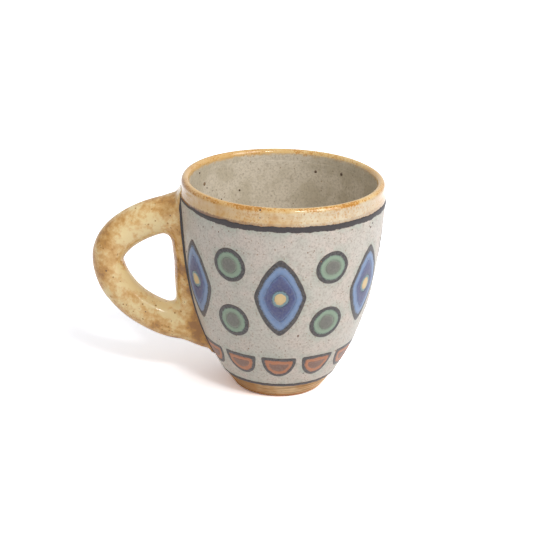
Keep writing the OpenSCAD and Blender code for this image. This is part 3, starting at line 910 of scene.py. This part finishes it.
def lofted(loops, depths, heights, closed):
    # skins flat loops from the outer one inwards, with a flat back under them. closed fills the middle
    count, back = len(loops[0]), frieze["back"]
    rings = [(loops[0], depths[0], back)] + list(zip(loops, depths, heights))
    if not closed:
        rings.append((loops[-1], depths[-1], back))
    points, tints, faces = [], [], []
    for loop, depth, height in rings:
        points += [(x * mm, y * mm, height * mm) for x, y in loop]
        tints += [depth] * count
    for ring in range(len(rings) - 1 if closed else len(rings)):
        here, there = ring * count, (ring + 1) % len(rings) * count
        for i in range(count):
            j = (i + 1) % count
            faces.append((here + i, here + j, there + j, there + i))
    if closed:
        top, low = len(points), len(points) + 1
        middle = loops[-1].mean(0)
        points += [(middle[0] * mm, middle[1] * mm, height * mm) for height in (heights[-1], back)]
        tints += [depths[-1] + 0.3] * 2
        inner = (len(rings) - 1) * count
        for i in range(count):
            j = (i + 1) % count
            faces.append((inner + i, inner + j, top))
            faces.append((j, i, low))
    return points, tints, faces


def drawnMesh(name, parts, attribute):
    # one mesh of several parts, each with its points, the number kept at each of them, and its faces
    points, tints, faces = [], [], []
    for partPoints, partTints, partFaces in parts:
        faces += [tuple(i + len(points) for i in face) for face in partFaces]
        points += partPoints
        tints += partTints
    mesh = plainMesh(name + "Drawn", points, faces)
    mark(mesh, attribute, tints)
    return mesh


def laidOn(name, mesh, material, seed, wobble, shape):
    # lays a flat drawing on the wall, as often as its shape says
    return grown(name, mesh, friezeTree, {
        "Count": shape["count"], "First Angle": math.radians(shape["first"]),
        "Step Angle": math.radians(shape["step"]), "Middle Height": shape["middle"] * mm,
        "Coat": wall["glaze"] * mm, "Brush Wobble": wobble * mm, "Brush Seed": seed, "Material": material})


def painted(shapeName, node, slotName, material, parts, depths, closed=False):
    # one colour of a shape: the loops of its parts, and how deep in from the outer edge each loop lies. The
    # paint rises from that edge
    name = shapeName + node.split("_")[-1].title()
    heights = [frieze["relief"] * min(1, depth / 0.45) ** 0.5 for depth in depths]
    mesh = drawnMesh(name, [lofted(loops, depths, heights, closed) for loops in parts], "brushDepth")
    stand(laidOn(name, mesh, material, 2.0, frieze["wobble"], frieze[shapeName]), slotName, node)


def diamonds(depths):
    return [shapeLoops(diamondLoop, depths, 0.5, 6)]


def discs(depths):
    shape = frieze["disc"]
    return [[discLoop(shape["radius"] - depth) + (0, side * shape["rise"]) for depth in depths]
            for side in (-1, 1)]


def halfMoons(depths):
    return [shapeLoops(halfMoonLoop, depths, 0.4, 4)]


def outlineAndField(shapeName, node, loopsAt, material, fieldSlot, steps):
    # the black outline of a shape and the colour inside it. Gives the depth where that colour ends
    edge = frieze["outline"] + frieze[shapeName]["margin"]
    outline = [0, 0.12, 0.3, 0.6, 1.0, 1.3, frieze["outline"]]
    field = np.linspace(frieze["outline"], edge, steps)
    painted(shapeName, node + "_outlines", "black_line", material, loopsAt(outline), outline)
    painted(shapeName, node + "_fields", fieldSlot, material, loopsAt(field), field)
    return edge


edge = outlineAndField("diamond", "diamond", diamonds, bluePaint, "light_blue", 6)
outer = diamonds([edge])[0][0]
inner = outer / np.hypot(*outer.T)[:, None] * frieze["diamond"]["ring"]
shares = np.linspace(0, 1, 7)
cores = [outer * (1 - share) + inner * share for share in shares]
painted("diamond", "diamond_cores", "dark_blue", bluePaint, [cores], edge + (7.0 - edge) * shares)
# the blue paint holds the ring's tint at depths of 7 to 8 and the dot's beyond
rings = [inner * (1 - share) + inner * share * frieze["diamond"]["dot"] / frieze["diamond"]["ring"]
         for share in np.linspace(0, 1, 4)]
painted("diamond", "diamond_rings", "teal", bluePaint, [rings], [7.0, 7.33, 7.67, 8.0])
dot = [rings[-1] * share for share in (1, 0.8, 0.5, 0.2)]
painted("diamond", "diamond_dots", "cream", bluePaint, [dot], [8.0, 8.5, 9.2, 10.0], True)

edge = outlineAndField("disc", "disc", discs, greenPaint, "sage_green", 6)
depths = np.linspace(edge, 6.6, 6)
painted("disc", "disc_cores", "warm_grey", greenPaint, discs(depths), depths, True)

edge = outlineAndField("halfMoon", "half_moon", halfMoons, redPaint, "terracotta", 5)
depths = np.linspace(edge, 4.6, 5)
painted("halfMoon", "half_moon_cores", "brown", redPaint, halfMoons(depths), depths, True)

# Lines beside the handle's panel. Each runs in the corner and climbs the panel's side, as a loaded brush does
panelLine = {
    "width": 1.0,  # on the wall
    "climb": 0.95,  # up the panel's side
    "lowShare": 0.45,  # both narrow to this share at the foot
    "highShare": 0.35,  # and to this one under the rim
    "proud": 0.14,
    "back": -0.2,
    "low": 14.2,
    "highs": {-1: 77.4, 1: 80.6},
    "wobble": 0.14,
    "count": 1, "first": 180.0, "step": 0.0, "middle": 0.0,
}


def cornerLine(side):
    width, climb, proud, back = (panelLine[name] for name in ("width", "climb", "proud", "back"))
    tall = np.linspace(panelLine["low"], panelLine["highs"][side], 260)
    # its section: the way out along the wall, the way up the panel's side, and 1 at the brush's edges
    section = [(back, back, 0.9), (width, back, 0.95), (width, 0.0, 0.95), (width * 0.75, proud, 0.6),
               (width * 0.35, proud, 0.0), (proud, climb * 0.35, 0.0), (proud, climb * 0.75, 0.5),
               (0.0, climb, 0.95), (back, climb, 0.95)][::side]
    count, last = len(section), len(tall) - 1
    points, tints = [], []
    for z in tall:
        share = np.interp(z, (20, 70, 76, 80.4), (panelLine["lowShare"], 1, 1, panelLine["highShare"]))
        for out, up, across in section:
            out, up = out * (share if out > proud else 1), up * (share if up > proud else 1)
            # the panel's side is upright, not radial
            x = side * (wall["panelHalf"] + out) / (1 + up / float(wallRadius(z)))
            points.append((x * mm, z * mm, up * mm))
            tints.append(across)
    faces = []
    for low in range(0, last * count, count):
        for i in range(count):
            j = (i + 1) % count
            faces.append((low + i, low + j, low + count + j, low + count + i))
    faces.append(tuple(range(count))[::-1])
    faces.append(tuple(last * count + i for i in range(count)))
    return points, tints, faces


mesh = drawnMesh("panelLines", [cornerLine(-1), cornerLine(1)], "acrossBrush")
stand(laidOn("panelLines", mesh, linePaint, 6.0, panelLine["wobble"], panelLine), "black_line", "panel_lines")
print("frieze painted")

# the glaze takes a cool cast beside the oxides, kept on the wall as an attribute
castReach = 2.6  # it fades over this
paints = [bpy.data.objects[name] for name in
          ("diamondOutlines", "discOutlines", "halfMoonOutlines", "upperLine", "footLine", "panelLines")]
places = np.concatenate([placesOf(piece) for piece in paints])[::3]
nearest = KDTree(len(places))
for i, place in enumerate(places):
    nearest.insert(place, i)
nearest.balance()
near = [math.exp(-nearest.find(place)[2] / (castReach * mm)) for place in placesOf(wallGlaze)]
mark(wallGlaze.data, "nearPaint", near)
print("wall tinted beside the paint")


# Handle: a pulled coil, bent to a loop and pressed on to its backing strip. Both are one skin of clay under
# the tan glaze, so they are made as one field of distances and skinned.
handle = {
    "rootRadius": 7.9,
    "upperRoot": 72.2,
    "lowerRoot": 25.0,
    "lowerFall": 2.0,  # the lower end runs on down by this inside the strip
    "bend": 51.9,
    "rootX": 40.1,
    "bendX": 70.0,
    "power": 1.8,  # 2 bends to an ellipse, less to a tighter loop
    "upperSunk": 3.0,  # its upper end runs on inwards by this
    "lowerSunk": 4.6,  # and its lower end lies this far inside the wall
    "thickness": 12.8,
    "width": 13.4,
    "sectionPower": 2.1,  # 2 makes its section an ellipse, more a rounded box
    "swell": 3.0,  # thicker by this towards the roots
    "swellPower": 1.9,
    "stripThickness": 5.2,
    "stripGain": 3.6,  # the strip is thicker by this at the lower root
    "edgeThickness": 1.5,
    "stripLow": 14.0,
    "stripEase": 8.8,  # it thins out over this height above its lower end
    "rootFillet": 4.6,
    "slabFillet": 1.6,
    "ridgeTop": 78.2,
    "sag": 0.65,  # the upper arm hangs by this near its root
    "lowerSag": 0.15,  # and the lower one by this
    "rise": 0.3,  # which rises by this before the bend
    "thumb": 0.7,  # the thumb thinned the lower arm
    "pinch": 0.3,  # and two fingers the upper root
    "shoulder": 0.5,  # the coil swells above the bend, and half as much below it
    "lump": 0.12,
    "slabEnd": 84.5,  # the strip is wiped out under the rim's glaze
    "slabFade": 5.0,
    "slabSunk": 0.2,  # and is this far inside the wall there
    "sunk": 0.7,  # the skin ends this far inside the wall
    "edgeRound": 1.1,
    "cell": 0.6,
    "boxLow": (-78.5, -9.6, 12.0),  # the box that is skinned
    "boxHigh": (-14.0, 9.6, 86.5),
    "gapMiddle": (-51.0, 0.0, 51.0),  # of the finger gap
}


def coilPath():
    # the coil's middle line and radius, root to root. Each bend is a hump of the turn that peaks near 1
    turn = np.radians(np.linspace(90, -90, 97))
    along, out = np.abs(np.sin(turn)), np.cos(turn)
    upper = turn > 0
    power = 2 / handle["power"]
    rise = along ** power
    x = -handle["rootX"] - (handle["bendX"] - handle["rootX"]) * out ** power
    z = handle["bend"] + np.where(upper, (handle["upperRoot"] - handle["bend"]) * rise,
                                  (handle["lowerRoot"] - handle["bend"]) * rise)
    radius = handle["thickness"] / 2 + handle["swell"] / 2 * along ** handle["swellPower"]
    nearBend = 3.08 * along * out ** 3
    nearRoot = 3.08 * along ** 3 * out
    atRoot = 4.8 * along ** 8 * out
    midArm = 5.38 * along ** 3 * out ** 2
    lift = handle["rise"] * midArm - handle["lowerSag"] * nearRoot
    z = z + np.where(upper, -handle["sag"] * nearRoot, lift)
    radius = radius - np.where(upper, handle["pinch"] * atRoot, handle["thumb"] * nearRoot)
    radius = radius + np.where(upper, 1, 0.5) * handle["shoulder"] * nearBend
    start = (handle["upperSunk"] - handle["rootX"], handle["upperRoot"], handle["rootRadius"])
    lower = float(wallRadius(handle["lowerRoot"]))
    end = (handle["lowerSunk"] - lower, handle["lowerRoot"] - handle["lowerFall"], handle["rootRadius"])
    return np.array([start] + list(zip(x, z, radius)) + [end])


def blended(first, second, reach):
    # smooth union of two distance fields, with a fillet
    overlap = np.maximum(reach - np.abs(first - second), 0) / reach
    return np.minimum(first, second) - overlap * overlap * reach / 4


path = coilPath()


def coilField(x, y, z):
    # distance to the coil, a superellipse round its nearest stretch, with the lumps of the clay
    best, bestRadius = np.full(len(x), 1e9), np.ones(len(x))
    for (x0, z0, r0), (x1, z1, r1) in zip(path[:-1], path[1:]):
        dx, dz = x1 - x0, z1 - z0
        share = np.clip(((x - x0) * dx + (z - z0) * dz) / (dx * dx + dz * dz + 1e-9), 0, 1)
        radius = r0 + (r1 - r0) * share
        away = np.hypot(x - x0 - dx * share, z - z0 - dz * share)
        closer = away - radius < best - bestRadius
        best, bestRadius = np.where(closer, away, best), np.where(closer, radius, bestRadius)
    waves = np.sin(0.23 * x + 0.19 * z) + np.sin(0.31 * z - 0.27 * x + 1.7) + np.sin(0.4 * y + 0.17 * z)
    lumps = handle["lump"] * (waves - 3) / 3
    half, power = handle["width"] / 2, handle["sectionPower"]
    squash = ((best / bestRadius) ** power + (np.abs(y) / half) ** power) ** (1 / power)
    return (squash - 1) * np.minimum(bestRadius, half) - lumps


def handleField(points):
    # distance to the skin of coil and strip, below 0 inside the clay
    x, y, z = points[:, 0], points[:, 1], points[:, 2]
    atLip = np.clip((z - hand["ovalFrom"]) / (hand["ovalTo"] - hand["ovalFrom"]), 0, 1)
    oval = hand["oval"] * (x / np.hypot(x, y)) ** 2 * atLip * atLip * (3 - 2 * atLip)
    proud = np.hypot(x, y) - wallRadius(z) + oval
    low = np.clip((handle["bend"] - z) / (handle["bend"] - handle["lowerRoot"]), 0, 1)
    thick = handle["stripThickness"] + handle["stripGain"] * low
    above = z - (handle["ridgeTop"] - handle["stripThickness"])
    below = handle["stripLow"] + handle["stripEase"] - z
    over = np.maximum(0, np.maximum(above, below))
    across = y / (wall["panelHalf"] + 0.2)  # a little wider than the panel, which cuts it
    ridge = np.sqrt((proud / thick) ** 2 + across ** 2 + (over / thick) ** 2) - 1
    ridge = ridge * np.minimum(thick, wall["panelHalf"])
    shown = eased((handle["slabEnd"] - z) / handle["slabFade"])
    slab = proud + handle["slabSunk"] - (handle["edgeThickness"] + handle["slabSunk"]) * shown
    field = blended(coilField(x, y, z), ridge, handle["rootFillet"])
    field = blended(field, slab, handle["slabFillet"])
    for cut in (np.abs(y) - wall["panelHalf"], handle["stripLow"] - z):
        field = -blended(-field, -cut, handle["edgeRound"])
    field = np.maximum(field, z - handle["slabEnd"])
    return np.maximum(field, -handle["sunk"] - proud)


def skinned(field, low, high, cell):
    # surface nets: a point in each cell that the surface crosses, a face over each edge that it crosses
    counts = [int(math.ceil((end - start) / cell)) + 1 for start, end in zip(low, high)]
    axes = [start + cell * np.arange(count) for start, count in zip(low, counts)]
    values = field(np.stack(np.meshgrid(*axes, indexing="ij"), -1).reshape(-1, 3)).reshape(counts)
    cells = [count - 1 for count in counts]
    total, crossings = np.zeros(cells + [3]), np.zeros(cells)
    corner = np.stack(np.meshgrid(*[np.arange(count) for count in cells], indexing="ij"), -1)

    def valuesFrom(start):
        return values[tuple(slice(first, first + count) for first, count in zip(start, cells))]

    for axis in range(3):
        others = [k for k in range(3) if k != axis]
        for sides in ((0, 0), (0, 1), (1, 0), (1, 1)):
            start = [0, 0, 0]
            start[others[0]], start[others[1]] = sides
            end = list(start)
            end[axis] = 1
            here, there = valuesFrom(start), valuesFrom(end)
            crossed = (here < 0) != (there < 0)
            share = np.where(crossed, here / np.where(crossed, here - there, 1), 0)
            at = corner + np.array(start) + share[..., None] * np.eye(3)[axis]
            total += np.where(crossed[..., None], at, 0)
            crossings += crossed
    used = crossings > 0
    number = np.full(cells, -1)
    number[used] = np.arange(used.sum())
    points = np.array(low) + cell * total[used] / crossings[used][:, None]
    return points, netFaces(values < 0, number, counts)


def netFaces(inside, number, counts):
    # a face of four cells' points over each edge that has one end inside
    faces = []
    for axis in range(3):
        u, v = (axis + 1) % 3, (axis + 2) % 3
        here = inside[tuple(slice(0, -1) if k == axis else slice(None) for k in range(3))]
        there = inside[tuple(slice(1, None) if k == axis else slice(None) for k in range(3))]
        for flip, crossing in ((1, here & ~there), (-1, ~here & there)):
            at = np.argwhere(crossing)
            at = at[(at[:, u] > 0) & (at[:, v] > 0)]
            at = at[(at[:, u] < counts[u] - 1) & (at[:, v] < counts[v] - 1)]
            quad = []
            for du, dv in ((1, 1), (0, 1), (0, 0), (1, 0)):
                cell = at.copy()
                cell[:, u] -= du
                cell[:, v] -= dv
                quad.append(number[tuple(cell.T)])
            faces.append(np.stack(quad, 1)[:, ::flip])
    return np.vstack(faces)


def glazeThinnessAndShade(points, normals):
    # how thin the glaze runs, and painted shade: thin on the coil's ridges, partly painted shade on its lower
    # arm, painted shade on the strip beside the wall and on the lower root, and pooled on the lower arm's
    # upper side
    z = points[:, 2]
    proud = np.hypot(points[:, 0], points[:, 1]) - wallRadius(z)
    fromGap = points - np.array(handle["gapMiddle"])
    outwards = (normals * (fromGap / np.linalg.norm(fromGap, axis=1)[:, None])).sum(1)
    # partly thin glaze over the ridges, partly painted shade on the coil's outer and lower side
    ridge = np.clip(outwards, 0, 1) ** 2 * np.interp(z, (36, 52, 66), (1.5, 1.0, 0.2))
    # painted shade on the strip beside the wall, which faces away from the lamps
    panelShade = np.clip(1 - proud / 7, 0, 1) * np.clip((74 - z) / 8, 0, 1)
    # painted shade on the lower root, which faces down and away from the lamps
    low = np.clip(1 - proud / 28, 0, 1) * np.clip((38 - z) / 12, 0, 1)
    pooled = np.clip(0.3 - outwards, 0, 1) * np.clip((48 - z) / 8, 0, 1) * np.clip((proud - 6) / 6, 0, 1)
    return np.clip(0.68 * ridge + 1.1 * panelShade + 1.1 * low - pooled, -1, 1.5)


points, faces = skinned(handleField, handle["boxLow"], handle["boxHigh"], handle["cell"])
step = 0.02
for _ in range(3):  # slide the points on to the surface,
    slope = np.stack([(handleField(points + step * way) - handleField(points - step * way)) / (2 * step)
                      for way in np.eye(3)], 1)
    back = np.clip(handleField(points), -0.3, 0.3) / np.maximum((slope ** 2).sum(1), 0.2)
    points = points - back[:, None] * slope
mesh = plainMesh("pulledHandle", points * mm, faces.tolist())
mesh.materials.append(ironTan)
normals = np.empty(len(mesh.vertices) * 3)
mesh.vertex_normals.foreach_get("vector", normals)
mark(mesh, "thinGlaze", glazeThinnessAndShade(points, normals.reshape(-1, 3)))
pulledHandle = stand(placed("pulledHandle", mesh), "tan_glaze", "handle", "handle_backing")
print("handle pulled:", len(mesh.vertices), "points")

# Iron specks on the wall, inside, and on the tan glaze
specks = {
    "wallSpecks": {"Specks per Square Metre": 9000.0, "Smallest": 0.15, "Largest": 0.5, "Lowest": 9.0,
                   "Seed": 11},
    "linerSpecks": {"Specks per Square Metre": 6000.0, "Smallest": 0.4, "Largest": 0.95, "Outer Side": -1.0,
                    "Seed": 12},
    "rimSpecks": {"Specks per Square Metre": 9000.0, "Smallest": 0.14, "Largest": 0.42, "Lowest": 81.8,
                  "Seed": 13},
    "handleSpecks": {"Specks per Square Metre": 1300.0, "Smallest": 0.3, "Largest": 0.8, "Seed": 14},
}
for name, surface, material in (("wallSpecks", wallGlaze, ironMelt), ("linerSpecks", linerGlaze, softIron),
                                ("rimSpecks", rimGlaze, ironMelt), ("handleSpecks", pulledHandle, ironMelt)):
    values = inMetres(specks[name], ("Specks per Square Metre", "Outer Side"))
    piece = grown(name, surface.data.copy(), speckTree, {**values, "Material": material})
    stand(piece, "brown")
    print(name, len(piece.data.vertices) // 26, "specks")  # a grain has 26 points

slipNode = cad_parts["luting_slip"]
slipNode.data.materials.clear()
slipNode.data.materials.append(joinSlip)

# Stage: floor, light and camera. Turns are to the camera's right and rises above the floor, in degrees

stage = {
    "floor": "#dddbd8",
    "floorHalf": 1600.0,
    "floorShown": 2.3,  # as the camera and reflections see it, so that the paper is white under the shadow
    "paperCast": (0.985, 0.995, 1.03),
    "sky": 0.44,
    "aim": 45.0,  # height that the lamps point at
    "keyLight": {"power": 2.7, "size": 200.0, "turn": 24.0, "rise": 45.0, "away": 1200.0},
    "softLight": {"power": 7.7, "size": 700.0, "turn": 58.0, "rise": 43.0, "away": 1300.0},
    "lens": 101.1,
    "sensor": 36.0,
    "distance": 593.4,
    "elevation": 17.45,
    "pan": -0.59,
    "tilt": 20.935,
    "roll": -1.13,
}


def seenStraight(tree):
    # 1 for what the camera sees itself, in a gloss or through glass
    ray = put(tree, "LightPath").outputs
    return chain(tree, ray["Is Camera Ray"], ("Math MAXIMUM", ray["Is Glossy Ray"]),
                 ("Math MAXIMUM", ray["Is Transmission Ray"]))


scene.world = bpy.data.worlds.new("softStudio")
tree = cleared(scene.world)
power = put(tree, "MapRange", seenStraight(tree), 0.0, 1.0, stage["sky"], 1.0)
put(tree, "OutputWorld", put(tree, "Background", (1, 1, 1, 1), power))

# White paper: smooth matt card. The eye sees plain white and the mug's soft shadow
paper = bpy.data.materials.new("whitePaper")
tree = cleared(paper)
sheet = put(tree, "BsdfPrincipled", Base_Color=stage["floor"], Roughness=0.9)
bright = put(tree, "BsdfDiffuse", tuple(stage["floorShown"] * part for part in stage["paperCast"]) + (1,))
put(tree, "OutputMaterial", put(tree, "MixShader", seenStraight(tree), sheet, bright))
half = stage["floorHalf"] * mm
corners = [(-half, -half, 0), (half, -half, 0), (half, half, 0), (-half, half, 0)]
floorMesh = plainMesh("floor", corners, [(0, 1, 2, 3)])
floorMesh.materials.append(paper)
floor = bpy.data.objects.new("floor", floorMesh)
scene.collection.objects.link(floor)


def lamp(name, power, size, turn, rise, away):
    light = bpy.data.lights.new(name, "AREA")
    light.shape = "DISK"
    light.size = size * mm
    light.energy = power
    turn, rise = math.radians(turn), math.radians(rise)
    toLamp = Vector((math.sin(turn) * math.cos(rise), -math.cos(turn) * math.cos(rise), math.sin(rise)))
    thing = bpy.data.objects.new(name, light)
    thing.location = Vector((0, 0, stage["aim"] * mm)) + away * mm * toLamp
    thing.rotation_mode = "QUATERNION"
    thing.rotation_quaternion = (-toLamp).to_track_quat("-Z", "Y")
    scene.collection.objects.link(thing)


for name in ("keyLight", "softLight"):
    lamp(name, **stage[name])

elevation, pan, tilt, roll = (math.radians(stage[name]) for name in ("elevation", "pan", "tilt", "roll"))
forward = Vector((math.sin(pan) * math.cos(tilt), math.cos(pan) * math.cos(tilt), -math.sin(tilt)))
right = forward.cross(Vector((0, 0, 1))).normalized()
upward = right.cross(forward)
turnedRight = right * math.cos(roll) - upward * math.sin(roll)
turnedUp = right * math.sin(roll) + upward * math.cos(roll)
matrix = Matrix((turnedRight, turnedUp, -forward)).transposed().to_4x4()
back, high = stage["distance"] * math.cos(elevation), wall["height"] + stage["distance"] * math.sin(elevation)
matrix.translation = Vector((0, -back * mm, high * mm))
camera = bpy.data.cameras.new("camera")
camera.lens = stage["lens"]
camera.sensor_width = stage["sensor"]
camera.clip_start, camera.clip_end = 0.01, 20.0
view = bpy.data.objects.new("camera", camera)
view.matrix_world = matrix
scene.collection.objects.link(view)
scene.camera = view
scene.view_settings.view_transform = "Standard"
print("stage set")
